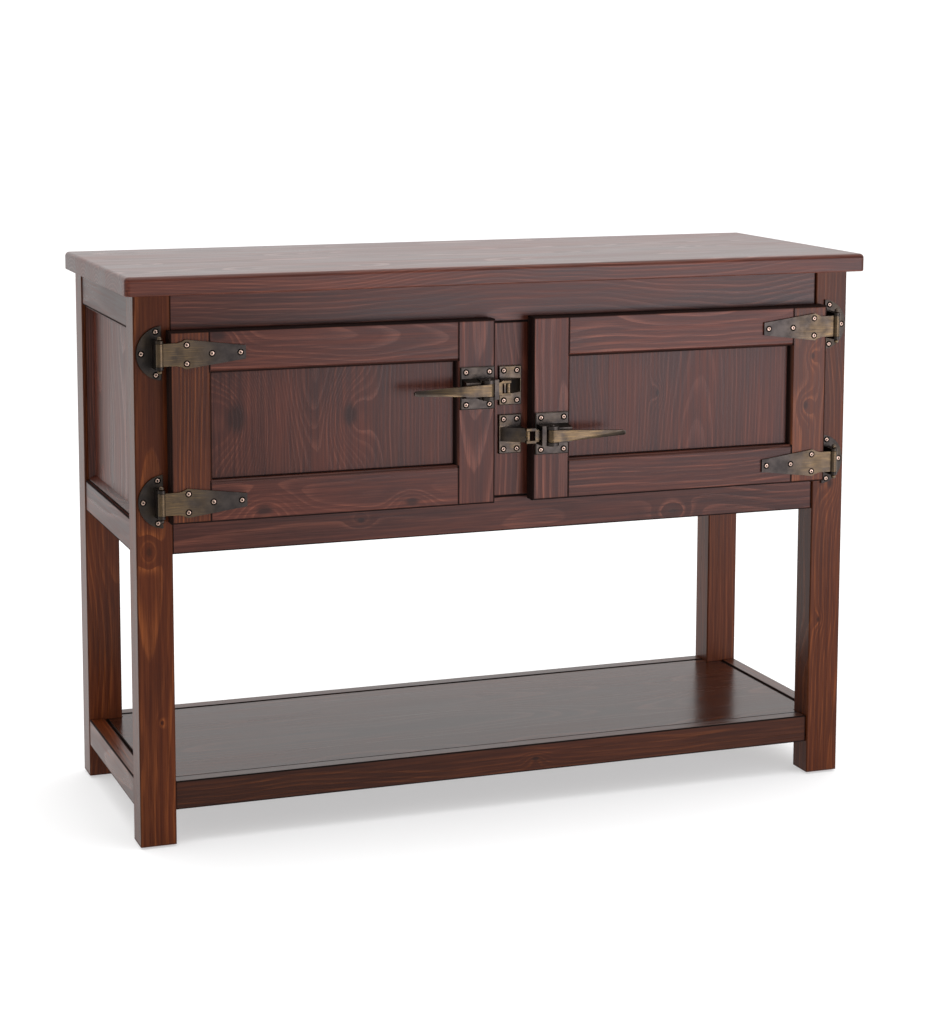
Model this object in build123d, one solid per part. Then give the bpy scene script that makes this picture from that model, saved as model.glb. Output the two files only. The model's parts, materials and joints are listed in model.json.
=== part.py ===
from build123d import *
import os

os.makedirs("parts", exist_ok=True)

# Two-door console cabinet with an open lower shelf. Millimetres, +Z up, +X to the right,
# +Y to the back. The origin is on the floor under the middle of the whole object.
# "u" is a distance from the middle plane X = 0, so each side is a mirror of the other.

# Overall sizes
height = 762.0
case_width = 1034.0
case_depth = 378.0

# Top board
top_thick = 25.0
top_side_overhang = 15.0
top_front_overhang = 25.4
top_corner_round = 7.0
top_upper_round = 6.0
top_lower_round = 2.0

# Legs and their glides
leg_width = 48.5
leg_depth = 42.5
leg_round = 2.0
glide_radius = 12.0
glide_thick = 3.0
glide_stem_radius = 2.0
glide_stem_length = 14.0

# Case rails, stile and panels
rail_thick = 22.0
edge_ease = 1.2
front_setback = 3.0
side_setback = 1.5
back_setback = 3.0
case_bottom_z = 394.0
front_top_rail_height = 54.2
front_bottom_rail_height = 48.3
side_top_rail_height = 47.0
side_bottom_rail_height = 43.5
stile_width = 70.0
tongue = 6.0
groove_clearance = 0.2
side_panel_thick = 8.0
side_panel_recess = 13.0
back_panel_thick = 6.0
back_panel_recess = 8.0
bead_quirk = 0.7
bead_width = 8.0
bead_lip = 2.5
bead_below_face = 4.0

# Inside of the case
floor_thick = 12.0
board_clearance = 0.5
notch_clearance = 1.0
cleat_size = 15.0
cleat_inset = 8.0
top_cleat_width = 20.0
top_cleat_screw_span = 760.0
top_cleat_screw_count = 4

# Lower shelf
shelf_rail_bottom_z = 48.2
shelf_rail_height = 38.5
shelf_front_setback = 4.9
shelf_side_setback = 0.8
shelf_board_thick = 16.0
shelf_board_below_rail = 0.8
shelf_side_gap = 3.0
shelf_end_gap = 1.0

# Doors
door_thick = 21.0
door_case_gap = 1.0
door_centre_gap = 55.0
door_leg_overlap = 6.0
door_top_overlap = 7.2
door_bottom_overlap = 4.0
door_member = 55.0
door_sticking = 3.8
door_sticking_depth = 3.2
door_quirk_depth = 0.8
door_edge_round = 2.2
door_panel_thick = 6.0
door_panel_recess = 11.0
door_panel_tongue = 8.0

# Strap hinges: a half-round plate on the leg, a strap on the door and a vertical pin
hinge_from_door_top = 29.4
hinge_from_door_bottom = 27.7
hinge_pin_out = 13.9
hinge_pin_ahead = 2.5
hinge_pin_radius = 2.5
hinge_knuckle_radius = 5.0
hinge_knuckle_half = 14.7
hinge_ear_gap = 0.4
hinge_ear_thick = 3.9
hinge_riser_gap = 0.6
hinge_ball_radius = 3.2
hinge_ball_sink = 0.6
hinge_plate_thick = 3.0
hinge_plate_radius = 35.5
hinge_plate_flat_from_door = 7.0
hinge_plate_reach = 32.5
hinge_plate_screw_in = 7.0
hinge_plate_screw_half = 28.2
hinge_plate_screw_out = 26.3
strap_thick = 3.0
strap_length = 114.0
strap_neck_length = 21.5
strap_shoulder_length = 34.0
strap_shoulder_half = 19.2
strap_end_half = 8.8
strap_pair_screw_at = 35.6
strap_pair_screw_half = 12.2
strap_middle_screw_at = 68.9
strap_end_screw_at = 106.9
strap_sag_share = 0.3

# Lever latches: base on the door, lever with a roller, keeper on the centre stile
latch_half_pitch = 33.5
latch_base_in = 2.5
latch_base_width = 48.5
latch_base_half = 28.8
latch_base_thick = 4.0
latch_base_bevel = 1.2
latch_housing_inset = 2.0
latch_screw_in = 7.5
latch_screw_half = 22.0
latch_pin_in = 19.0
latch_pin_ahead = 24.0
latch_pin_radius = 2.5
latch_pin_head = 1.2
latch_pin_head_radius = 3.75
latch_ear_radius = 9.0
latch_housing_half = 13.5
latch_slot_half = 9.0
latch_bar_in = 4.0
latch_bar_width = 6.0
latch_bar_back = 19.5
latch_bar_front = 25.0
latch_tower_in = 29.0
latch_tower_ahead = 21.0
latch_tower_chamfer = 3.5
running_clearance = 0.05

# Lever, measured from its pin
lever_hub_radius = 7.5
lever_half = 8.3
handle_length = 106.0
handle_root_back = 1.0
handle_tip_back = 1.5
handle_tip_front = 6.0
handle_tip_half = 3.3
handle_tip_round = 3.0
arm_half = 6.0
fork_start = 17.1
fork_end = 35.0
fork_back = 13.0
fork_front = 6.0
fork_half = 10.2
fork_arm_thick = 3.5
fork_neck_half = 8.3
fork_neck_length = 3.2
fork_shoulder = 1.9
fork_bar = 5.4
roller_radius = 3.0
roller_at = 32.0
roller_end_gap = 0.3
axle_radius = 1.25
spring_radius = 4.2
spring_wire_radius = 0.5
spring_pitch = 1.3
spring_turns = 2.5
spring_pocket_radius = 5.6
spring_pocket_depth = 4.4
spring_seat_gap = 0.3

# Keepers
keeper_side_shift = 2.5
keeper_drop = 2.0
keeper_width = 33.0
keeper_half = 27.0
keeper_thick = 3.5
keeper_screw_half_width = 9.6
keeper_screw_half = 20.6
keeper_ramp_half = 9.6
keeper_nose_ahead = 20.0
keeper_nose_flat = 2.5
keeper_toe_inset = 2.0
keeper_bevel = 1.0

# Wood screws
screw_head_radius = 4.0
screw_head_depth = 2.2
screw_head_crown = 0.8
screw_crown_radius = 2.9
screw_shank_radius = 1.6
screw_length = 14.0
screw_recess_radius = 1.3
screw_recess_depth = 1.0
cleat_screw_length = 28.0

# Places worked out from the sizes above
door_proud = door_case_gap + door_thick
latch_reach = latch_pin_ahead + latch_ear_radius
overall_depth = case_depth + door_proud + latch_reach
case_back_y = overall_depth / 2
case_front_y = case_back_y - case_depth
door_back_y = case_front_y - door_case_gap
door_front_y = door_back_y - door_thick
leg_top_z = height - top_thick
case_side = case_width / 2
leg_inner_u = case_side - leg_width
front_rail_y = case_front_y + front_setback
back_rail_y = case_back_y - back_setback
side_face_u = case_side - side_setback
leg_front_inner_y = case_front_y + leg_depth
leg_back_inner_y = case_back_y - leg_depth
opening_top_z = leg_top_z - front_top_rail_height
opening_bottom_z = case_bottom_z + front_bottom_rail_height
side_top_z = leg_top_z - side_top_rail_height
side_bottom_z = case_bottom_z + side_bottom_rail_height
shelf_rail_top_z = shelf_rail_bottom_z + shelf_rail_height
shelf_front_y = case_front_y + shelf_front_setback
shelf_back_y = case_back_y - shelf_front_setback
shelf_side_u = case_side - shelf_side_setback
door_inner_u = door_centre_gap / 2
door_outer_u = leg_inner_u + door_leg_overlap
door_top_z = opening_top_z + door_top_overlap
door_bottom_z = opening_bottom_z - door_bottom_overlap
door_mid_z = (door_top_z + door_bottom_z) / 2
hinge_zs = [door_top_z - hinge_from_door_top, door_bottom_z + hinge_from_door_bottom]
hinge_u = door_outer_u + hinge_pin_out
hinge_y = door_front_y - hinge_pin_ahead
latch_zs = {"upper": door_mid_z + latch_half_pitch, "lower": door_mid_z - latch_half_pitch}
latch_sides = {"upper": "left", "lower": "right"}
latch_u = door_inner_u + latch_pin_in
latch_y = door_front_y - latch_pin_ahead
hinge_plate_flat_u = door_outer_u + hinge_plate_flat_from_door
latch_tower_front_y = door_front_y - latch_tower_ahead
roller_y = latch_y + (fork_front + fork_back) / 2
leg_middle_u = case_side - leg_width / 2
leg_middle_ys = {"front": case_front_y + leg_depth / 2, "back": case_back_y - leg_depth / 2}
sides = ["left", "right"]
# END OF SIZES


def block(u0, u1, y0, y1, z0, z1):
    """A box between two corners."""
    return Pos(u0, y0, z0) * Box(u1 - u0, y1 - y0, z1 - z0, align=(Align.MIN, Align.MIN, Align.MIN))


def board(u0, u1, y0, y1, z0, z1):
    """A sawn board with its arrises eased."""
    return fillet(block(u0, u1, y0, y1, z0, z1).edges(), edge_ease)


def on_side(shape, side):
    """A piece drawn on the right, put on its own side."""
    return mirror(shape, about=Plane.YZ) if side == "left" else shape


def save(name, shape):
    """Write one node."""
    export_step(shape, os.path.join("parts", name + ".step"))


def cut(shape, tools):
    """Take every tool out of a shape."""
    for tool in tools:
        shape = shape - tool
    return shape


def group(solids):
    """Separate solids kept together in one node."""
    return Compound(children=list(solids))


def front_face(points, y):
    """A flat outline in X and Z, standing at depth y and facing the front."""
    place = Plane(origin=(0, y, 0), x_dir=(1, 0, 0), z_dir=(0, -1, 0))
    return place * Polygon(*points, align=None)


def upright(points, z0, z1):
    """An outline in X and Y, drawn up from z0 to z1."""
    return extrude(Pos(0, 0, z0) * Polygon(*points, align=None), amount=z1 - z0, dir=(0, 0, 1))


def round_bar(radius, u, y, z0, z1):
    """A vertical round bar."""
    return Pos(u, y, z0) * Cylinder(radius, z1 - z0, align=(Align.CENTER, Align.CENTER, Align.MIN))


def taper(u0, u1, z0, z1, y, depth, spread):
    """A four-sided hole that narrows by spread on every side over its depth along Y."""
    wide = Plane(origin=(0, y, 0), x_dir=(1, 0, 0), z_dir=(0, -1, 0))
    narrow = Plane(origin=(0, y + depth, 0), x_dir=(1, 0, 0), z_dir=(0, -1, 0))
    middle = Pos((u0 + u1) / 2, (z0 + z1) / 2)
    outer = wide * middle * Rectangle(u1 - u0, z1 - z0)
    inner = narrow * middle * Rectangle(u1 - u0 - 2 * spread, z1 - z0 - 2 * spread)
    return loft([outer, inner])


def screw(length):
    """A countersunk wood screw along +Z, its seat at z = 0 and its point down."""
    profile = [
        (0, -length),
        (screw_shank_radius, -length + screw_shank_radius),
        (screw_shank_radius, -screw_head_depth),
        (screw_head_radius, 0),
        (screw_crown_radius, screw_head_crown),
        (screw_recess_radius, screw_head_crown),
        (screw_recess_radius, -screw_recess_depth),
        (0, -screw_recess_depth),
    ]
    return revolve(Plane.XZ * Polygon(*profile, align=None), axis=Axis.Z)


def screw_filled(length):
    """The hole that a screw needs: its own outside with no driver recess."""
    top = 2 * screw_head_crown
    profile = [
        (0, -length),
        (screw_shank_radius, -length + screw_shank_radius),
        (screw_shank_radius, -screw_head_depth),
        (screw_head_radius, 0),
        (screw_head_radius, top),
        (0, top),
    ]
    return revolve(Plane.XZ * Polygon(*profile, align=None), axis=Axis.Z)


def front_screws(places, y, shape):
    """Screws driven from the front: places are (u, z), y is the face that they seat on."""
    return [Pos(u, y, z) * Rot(90, 0, 0) * shape for u, z in places]


# Top board: square with a larger round on the upper arris than on the lower one
def top_board():
    side = case_side + top_side_overhang
    shape = block(-side, side, case_front_y - top_front_overhang, case_back_y, leg_top_z, height)
    shape = fillet(shape.edges().filter_by(Axis.Z), top_corner_round)
    shape = fillet(shape.faces().sort_by(Axis.Z)[-1].edges(), top_upper_round)
    return fillet(shape.faces().sort_by(Axis.Z)[0].edges(), top_lower_round)


# Panels, drawn with their tongues, and the grooves that take them
def side_panel_block(clearance):
    outer = side_face_u - side_panel_recess + clearance
    inner = side_face_u - side_panel_recess - side_panel_thick - clearance
    reach = tongue + clearance
    return block(inner, outer, leg_front_inner_y - reach, leg_back_inner_y + reach,
                 side_bottom_z - reach, side_top_z + reach)


def back_panel_block(clearance):
    outer = back_rail_y - back_panel_recess + clearance
    inner = back_rail_y - back_panel_recess - back_panel_thick - clearance
    reach = tongue + clearance
    return block(-leg_inner_u - reach, leg_inner_u + reach, inner, outer,
                 side_bottom_z - reach, side_top_z + reach)


def side_beads():
    """Four bead strips that hold a side panel, splayed towards it."""
    foot_u = side_face_u - side_panel_recess
    lip_u = side_face_u - bead_below_face
    y0 = leg_front_inner_y + bead_quirk
    y1 = leg_back_inner_y - bead_quirk
    z0 = side_bottom_z + bead_quirk
    z1 = side_top_z - bead_quirk
    ring = block(foot_u, lip_u, y0, y1, z0, z1)
    outer_plane = Plane(origin=(lip_u, 0, 0), x_dir=(0, 1, 0), z_dir=(1, 0, 0))
    inner_plane = Plane(origin=(foot_u, 0, 0), x_dir=(0, 1, 0), z_dir=(1, 0, 0))
    middle = Pos((y0 + y1) / 2, (z0 + z1) / 2)
    mouth = outer_plane * middle * Rectangle(y1 - y0 - 2 * bead_lip, z1 - z0 - 2 * bead_lip)
    throat = inner_plane * middle * Rectangle(y1 - y0 - 2 * bead_width, z1 - z0 - 2 * bead_width)
    ring = ring - loft([throat, mouth])
    front_zone = block(foot_u, lip_u, y0, y0 + bead_width, z0, z1)
    back_zone = block(foot_u, lip_u, y1 - bead_width, y1, z0, z1)
    posts = [ring & front_zone, ring & back_zone]
    return posts + list((ring - front_zone - back_zone).solids())


# Foot glides: a round pad with a stem in the leg
def glide(u, y):
    return round_bar(glide_radius, u, y, 0, glide_thick) + round_bar(
        glide_stem_radius, u, y, 0, glide_stem_length)


def leg(end):
    middle_y = leg_middle_ys[end]
    shape = block(leg_inner_u, case_side, middle_y - leg_depth / 2, middle_y + leg_depth / 2,
                  glide_thick, leg_top_z)
    shape = fillet(shape.edges().filter_by(Axis.Z), leg_round)
    shape = shape - round_bar(glide_stem_radius, leg_middle_u, middle_y, 0, glide_stem_length)
    shape = shape - side_panel_block(groove_clearance)
    return shape - back_panel_block(groove_clearance)


# Notches that let a board pass the legs
def leg_notches(z0, z1):
    reach = notch_clearance
    solids = []
    for end in leg_middle_ys:
        middle_y = leg_middle_ys[end]
        notch = block(leg_inner_u - reach, case_side, middle_y - leg_depth / 2 - reach,
                      middle_y + leg_depth / 2 + reach, z0, z1)
        solids += [notch, mirror(notch, about=Plane.YZ)]
    return solids


def case_floor():
    side = side_face_u - rail_thick - board_clearance
    y0 = front_rail_y + rail_thick + board_clearance
    y1 = back_rail_y - rail_thick - board_clearance
    z0 = opening_bottom_z - floor_thick
    shape = block(-side, side, y0, y1, z0, opening_bottom_z)
    return cut(shape, leg_notches(z0, opening_bottom_z))


def rail_cleats(front_y, back_y, side_u, top_z):
    """Four strips on the inner faces of a rectangle of rails, under a board."""
    long_u = leg_inner_u - cleat_inset
    short_y0 = leg_front_inner_y + cleat_inset
    short_y1 = leg_back_inner_y - cleat_inset
    z0 = top_z - cleat_size
    side = block(side_u - cleat_size, side_u, short_y0, short_y1, z0, top_z)
    return [
        block(-long_u, long_u, front_y, front_y + cleat_size, z0, top_z),
        block(-long_u, long_u, back_y - cleat_size, back_y, z0, top_z),
        side,
        mirror(side, about=Plane.YZ),
    ]


def top_cleats():
    long_u = leg_inner_u - cleat_inset
    front_y = front_rail_y + rail_thick
    back_y = back_rail_y - rail_thick
    z0 = leg_top_z - cleat_size
    return [
        block(-long_u, long_u, front_y, front_y + top_cleat_width, z0, leg_top_z),
        block(-long_u, long_u, back_y - top_cleat_width, back_y, z0, leg_top_z),
    ]


def top_cleat_screw_places():
    front_y = front_rail_y + rail_thick + top_cleat_width / 2
    back_y = back_rail_y - rail_thick - top_cleat_width / 2
    step = top_cleat_screw_span / (top_cleat_screw_count - 1)
    us = [-top_cleat_screw_span / 2 + step * i for i in range(top_cleat_screw_count)]
    return [(u, y) for y in (front_y, back_y) for u in us]


def shelf_board():
    side = shelf_side_u - rail_thick - shelf_side_gap
    y0 = shelf_front_y + rail_thick + shelf_end_gap
    y1 = shelf_back_y - rail_thick - shelf_end_gap
    z1 = shelf_rail_top_z - shelf_board_below_rail
    z0 = z1 - shelf_board_thick
    shape = block(-side, side, y0, y1, z0, z1)
    return cut(shape, leg_notches(z0, z1))


# Hinges, drawn on the right about the pin
def hinge_plate(z):
    centre_u = hinge_plate_flat_u + hinge_plate_reach - hinge_plate_radius
    place = Plane(origin=(centre_u, case_front_y, z), x_dir=(1, 0, 0), z_dir=(0, -1, 0))
    disc = extrude(place * Circle(hinge_plate_radius), amount=hinge_plate_thick)
    away = block(centre_u - hinge_plate_radius, hinge_plate_flat_u, case_front_y - hinge_plate_thick,
                 case_front_y, z - hinge_plate_radius, z + hinge_plate_radius)
    half_round = disc - away
    riser_y = hinge_y + hinge_knuckle_radius + hinge_riser_gap
    ear_top = hinge_knuckle_half + hinge_ear_gap + hinge_ear_thick
    ear_in = hinge_knuckle_half + hinge_ear_gap
    r = hinge_knuckle_radius
    riser = block(hinge_u - r, hinge_u + r, riser_y, case_front_y - hinge_plate_thick,
                  z - ear_top, z + ear_top)
    shape = half_round + riser
    for low, high in ((z + ear_in, z + ear_top), (z - ear_top, z - ear_in)):
        shape = shape + block(hinge_u - r, hinge_u + r, hinge_y, riser_y, low, high)
        shape = shape + round_bar(r, hinge_u, hinge_y, low, high)
    return shape - round_bar(hinge_pin_radius, hinge_u, hinge_y, z - ear_top, z + ear_top)


def hinge_plate_screw_places(z):
    near_u = hinge_plate_flat_u + hinge_plate_screw_in
    far_u = hinge_plate_flat_u + hinge_plate_screw_out
    return [(near_u, z + hinge_plate_screw_half), (far_u, z), (near_u, z - hinge_plate_screw_half)]


def hinge_pin(z):
    ear_top = hinge_knuckle_half + hinge_ear_gap + hinge_ear_thick
    shape = round_bar(hinge_pin_radius, hinge_u, hinge_y, z - ear_top, z + ear_top)
    for way in (1, -1):
        ball = Pos(hinge_u, hinge_y, z + way * (ear_top + hinge_ball_radius - hinge_ball_sink))
        seat = block(hinge_u - hinge_ball_radius, hinge_u + hinge_ball_radius, hinge_y - hinge_ball_radius,
                     hinge_y + hinge_ball_radius, z - ear_top, z + ear_top)
        shape = shape + (ball * Sphere(hinge_ball_radius) - seat)
    return shape


def hinge_strap(z):
    neck = hinge_knuckle_half
    neck_u = hinge_u - strap_neck_length
    shoulder_u = hinge_u - strap_shoulder_length
    end_u = hinge_u - strap_length
    sag_u = (neck_u + shoulder_u) / 2
    sag_half = neck + (strap_shoulder_half - neck) * strap_sag_share
    place = Plane(origin=(0, door_front_y, 0), x_dir=(1, 0, 0), z_dir=(0, -1, 0))
    outline = [
        Line((hinge_u, z - neck), (hinge_u, z + neck)),
        Line((hinge_u, z + neck), (neck_u, z + neck)),
        ThreePointArc((neck_u, z + neck), (sag_u, z + sag_half), (shoulder_u, z + strap_shoulder_half)),
        Line((shoulder_u, z + strap_shoulder_half), (end_u, z + strap_end_half)),
        Line((end_u, z + strap_end_half), (end_u, z - strap_end_half)),
        Line((end_u, z - strap_end_half), (shoulder_u, z - strap_shoulder_half)),
        ThreePointArc((shoulder_u, z - strap_shoulder_half), (sag_u, z - sag_half), (neck_u, z - neck)),
        Line((neck_u, z - neck), (hinge_u, z - neck)),
    ]
    leaf = extrude(place * make_face(outline), amount=strap_thick)
    knuckle = round_bar(hinge_knuckle_radius, hinge_u, hinge_y, z - neck, z + neck)
    bore = round_bar(hinge_pin_radius + running_clearance, hinge_u, hinge_y, z - neck, z + neck)
    return leaf + knuckle - bore


def strap_screw_places(z):
    pair_u = hinge_u - strap_pair_screw_at
    return [
        (pair_u, z + strap_pair_screw_half),
        (pair_u, z - strap_pair_screw_half),
        (hinge_u - strap_middle_screw_at, z),
        (hinge_u - strap_end_screw_at, z),
    ]


# Doors: a frame whose members are cut from one ring, so that the sticking meets at the corners
def door_panel_block(clearance):
    reach = door_panel_tongue + clearance
    y0 = door_front_y + door_panel_recess - clearance
    y1 = y0 + door_panel_thick + 2 * clearance
    return block(door_inner_u + door_member - reach, door_outer_u - door_member + reach, y0, y1,
                 door_bottom_z + door_member - reach, door_top_z - door_member + reach)


def door_members():
    ring = block(door_inner_u, door_outer_u, door_front_y, door_back_y, door_bottom_z, door_top_z)
    ring = fillet(ring.faces().sort_by(Axis.Y)[0].edges(), door_edge_round)
    u0 = door_inner_u + door_member
    u1 = door_outer_u - door_member
    z0 = door_bottom_z + door_member
    z1 = door_top_z - door_member
    s = door_sticking
    quirk_y = door_front_y + door_quirk_depth
    ring = ring - block(u0, u1, door_front_y, door_back_y, z0, z1)
    ring = ring - block(u0 - s, u1 + s, door_front_y, quirk_y, z0 - s, z1 + s)
    ring = ring - taper(u0 - s, u1 + s, z0 - s, z1 + s, quirk_y, door_sticking_depth, s)
    ring = ring - door_panel_block(groove_clearance)
    zones = {
        "latch_stile": [(door_inner_u, u0 - s, door_bottom_z, door_top_z), (u0 - s, u0, z0, z1)],
        "hinge_stile": [(u1 + s, door_outer_u, door_bottom_z, door_top_z), (u1, u1 + s, z0, z1)],
    }
    members = {}
    rest = ring
    for name, areas in zones.items():
        solids = [block(a, b, door_front_y, door_back_y, c, d) for a, b, c, d in areas]
        zone = solids[0] + solids[1]
        members[name] = ring & zone
        rest = rest - zone
    rails = rest.solids().sort_by(Axis.Z)
    members["bottom_rail"] = rails[0]
    members["top_rail"] = rails[-1]
    return members


# Latches, drawn on the right door
def latch_outline():
    """The housing seen from above, as points in X and Y."""
    face_y = door_front_y - latch_base_thick
    bar_u = door_inner_u + latch_bar_in
    tower_u = door_inner_u + latch_tower_in
    end_u = door_inner_u + latch_base_in + latch_base_width - latch_housing_inset
    bar_y = door_front_y - latch_bar_front
    tower_y = door_front_y - latch_tower_ahead
    return [(bar_u, face_y), (bar_u, bar_y), (latch_u, bar_y), (tower_u, tower_y),
            (end_u, tower_y), (end_u, face_y)]


def latch_base(z):
    base_u = door_inner_u + latch_base_in
    face_y = door_front_y - latch_base_thick
    plate = block(base_u, base_u + latch_base_width, face_y, door_front_y,
                  z - latch_base_half, z + latch_base_half)
    plate = chamfer(plate.faces().sort_by(Axis.Y)[0].edges(), latch_base_bevel)
    half = latch_housing_half
    housing = upright(latch_outline(), z - half, z + half)
    housing = housing + round_bar(latch_ear_radius, latch_u, latch_y, z - half, z + half)
    tower_u = door_inner_u + latch_tower_in
    slope = latch_tower_chamfer
    for way in (1, -1):
        edge_z = z + way * half
        points = [(face_y, edge_z), (latch_tower_front_y, edge_z), (latch_tower_front_y, edge_z - way * slope)]
        place = Plane(origin=(tower_u, 0, 0), x_dir=(0, 1, 0), z_dir=(1, 0, 0))
        wedge = extrude(place * Polygon(*points, align=None), amount=latch_base_width, dir=(1, 0, 0))
        housing = housing - wedge
    slot = latch_slot_half
    bar_back_y = door_front_y - latch_bar_back
    bar_u = door_inner_u + latch_bar_in
    inside = block(bar_u, tower_u, bar_back_y, face_y, z - slot, z + slot)
    ahead_y = latch_y - latch_ear_radius
    inside = inside + block(bar_u + latch_bar_width, tower_u, ahead_y, face_y, z - slot, z + slot)
    shape = plate + (housing - inside)
    return shape - round_bar(latch_pin_radius, latch_u, latch_y, z - half, z + half)


def latch_screw_places(z):
    base_u = door_inner_u + latch_base_in
    us = (base_u + latch_screw_in, base_u + latch_base_width - latch_screw_in)
    return [(u, z + way * latch_screw_half) for u in us for way in (1, -1)]


def latch_pin(z):
    half = latch_housing_half
    head = latch_pin_head_radius
    shape = round_bar(latch_pin_radius, latch_u, latch_y, z - half, z + half)
    shape = shape + round_bar(head, latch_u, latch_y, z + half, z + half + latch_pin_head)
    return shape + round_bar(head, latch_u, latch_y, z - half - latch_pin_head, z - half)


def latch_spring(z):
    """A torsion coil round the pin, in the pocket at the top of the hub."""
    low = z + lever_half - spring_pocket_depth + spring_wire_radius + spring_seat_gap
    path = Pos(latch_u, latch_y, low) * Helix(spring_pitch, spring_pitch * spring_turns, spring_radius)
    section = Plane(origin=path @ 0, z_dir=path % 0) * Circle(spring_wire_radius)
    return sweep(section, path=path)


def lever(z):
    y = latch_y
    hub = round_bar(lever_hub_radius, latch_u, y, z - lever_half, z + lever_half)
    tip_u = latch_u + handle_length
    # seen from above
    grip = upright([
        (latch_u, y - lever_hub_radius),
        (tip_u, y - handle_tip_front),
        (tip_u, y - handle_tip_back),
        (door_inner_u + latch_tower_in, y - handle_root_back),
        (latch_u, y + lever_hub_radius - handle_root_back),
    ], z - lever_half, z + lever_half)
    # seen from the front
    taper_face = front_face([
        (latch_u, z - lever_half),
        (latch_u, z + lever_half),
        (tip_u - handle_tip_round, z + handle_tip_half),
        (tip_u, z + handle_tip_half - handle_tip_round / 2),
        (tip_u, z - handle_tip_half + handle_tip_round / 2),
        (tip_u - handle_tip_round, z - handle_tip_half),
    ], y + lever_hub_radius)
    grip = grip & extrude(taper_face, amount=2 * lever_hub_radius, dir=(0, -1, 0))
    fork_u = latch_u - fork_start
    end_u = latch_u - fork_end
    arm = upright([
        (latch_u, y + lever_hub_radius),
        (latch_u - lever_hub_radius, y),
        (latch_u - lever_hub_radius, y + fork_front),
        (fork_u, y + fork_front),
        (fork_u, y + fork_back),
    ], z - arm_half, z + arm_half)
    neck_u = fork_u - fork_neck_length
    # seen from the front, with a neck narrow enough to swing between the cheeks of the base
    fork_face = front_face([
        (end_u, z - fork_half),
        (end_u, z + fork_half),
        (neck_u - fork_shoulder, z + fork_half),
        (neck_u, z + fork_neck_half),
        (fork_u, z + fork_neck_half),
        (fork_u, z - fork_neck_half),
        (neck_u, z - fork_neck_half),
        (neck_u - fork_shoulder, z - fork_half),
    ], y + fork_back)
    fork = extrude(fork_face, amount=fork_back - fork_front, dir=(0, -1, 0))
    gap = fork_half - fork_arm_thick
    mouth = block(end_u, fork_u - fork_bar, y + fork_front, y + fork_back, z - gap, z + gap)
    shape = hub + grip + arm + (fork - mouth)
    shape = shape - round_bar(latch_pin_radius + running_clearance, latch_u, y, z - lever_half, z + lever_half)
    pocket_z = z + lever_half - spring_pocket_depth
    shape = shape - round_bar(spring_pocket_radius, latch_u, y, pocket_z, z + lever_half)
    return shape - round_bar(axle_radius, latch_u - roller_at, roller_y, z - fork_half, z + fork_half)


def roller(z):
    half = fork_half - fork_arm_thick - roller_end_gap
    at_u = latch_u - roller_at
    shape = round_bar(roller_radius, at_u, roller_y, z - half, z + half)
    return shape - round_bar(axle_radius + running_clearance, at_u, roller_y, z - half, z + half)


def roller_axle(z):
    return round_bar(axle_radius, latch_u - roller_at, roller_y, z - fork_half, z + fork_half)


# Keepers stand on the centre stile, a little to the right of its middle
def keeper(z, way):
    """way is +1 where the nose is towards the right-hand door."""
    middle = keeper_side_shift
    low = middle - keeper_width / 2
    face_y = front_rail_y - keeper_thick
    plate = block(low, low + keeper_width, face_y, front_rail_y, z - keeper_half, z + keeper_half)
    plate = chamfer(plate.faces().sort_by(Axis.Y)[0].edges(), keeper_bevel)
    nose_u = middle + way * keeper_width / 2
    toe_u = middle - way * (keeper_width / 2 - keeper_toe_inset)
    nose_y = case_front_y - keeper_nose_ahead
    points = [(toe_u, face_y), (nose_u - way * keeper_nose_flat, nose_y), (nose_u, nose_y), (nose_u, face_y)]
    return plate + upright(points, z - keeper_ramp_half, z + keeper_ramp_half)


def keeper_screw_places(z):
    us = [keeper_side_shift + way * keeper_screw_half_width for way in (1, -1)]
    return [(u, z + way * keeper_screw_half) for u in us for way in (1, -1)]


# ---- Case ----
top_fixing = screw(cleat_screw_length)
top_fixing_hole = screw_filled(cleat_screw_length)
cleat_face_z = leg_top_z - cleat_size
top_fixings = []
top_fixing_holes = []
for place_u, place_y in top_cleat_screw_places():
    place = Pos(place_u, place_y, cleat_face_z) * Rot(180, 0, 0)
    top_fixings.append(place * top_fixing)
    top_fixing_holes.append(place * top_fixing_hole)

save("top_board", cut(top_board(), top_fixing_holes))

short_screw = screw(screw_length)
short_hole = screw_filled(screw_length)

plate_face_y = case_front_y - hinge_plate_thick
plate_places = [place for z in hinge_zs for place in hinge_plate_screw_places(z)]
plate_holes = front_screws(plate_places, plate_face_y, short_hole)
for side in sides:
    save("leg_front_" + side, on_side(cut(leg("front"), plate_holes), side))
    save("leg_back_" + side, on_side(leg("back"), side))
save("foot_glides", group(
    on_side(glide(leg_middle_u, y), side) for y in leg_middle_ys.values() for side in sides))

save("front_top_rail", board(-leg_inner_u, leg_inner_u, front_rail_y, front_rail_y + rail_thick,
                             opening_top_z, leg_top_z))
save("front_bottom_rail", board(-leg_inner_u, leg_inner_u, front_rail_y, front_rail_y + rail_thick,
                                case_bottom_z, opening_bottom_z))
keeper_zs = {name: z - keeper_drop for name, z in latch_zs.items()}
keeper_places = [place for z in keeper_zs.values() for place in keeper_screw_places(z)]
keeper_face_y = front_rail_y - keeper_thick
stile = board(-stile_width / 2, stile_width / 2, front_rail_y, front_rail_y + rail_thick,
              opening_bottom_z, opening_top_z)
save("centre_stile", cut(stile, front_screws(keeper_places, keeper_face_y, short_hole)))

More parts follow.
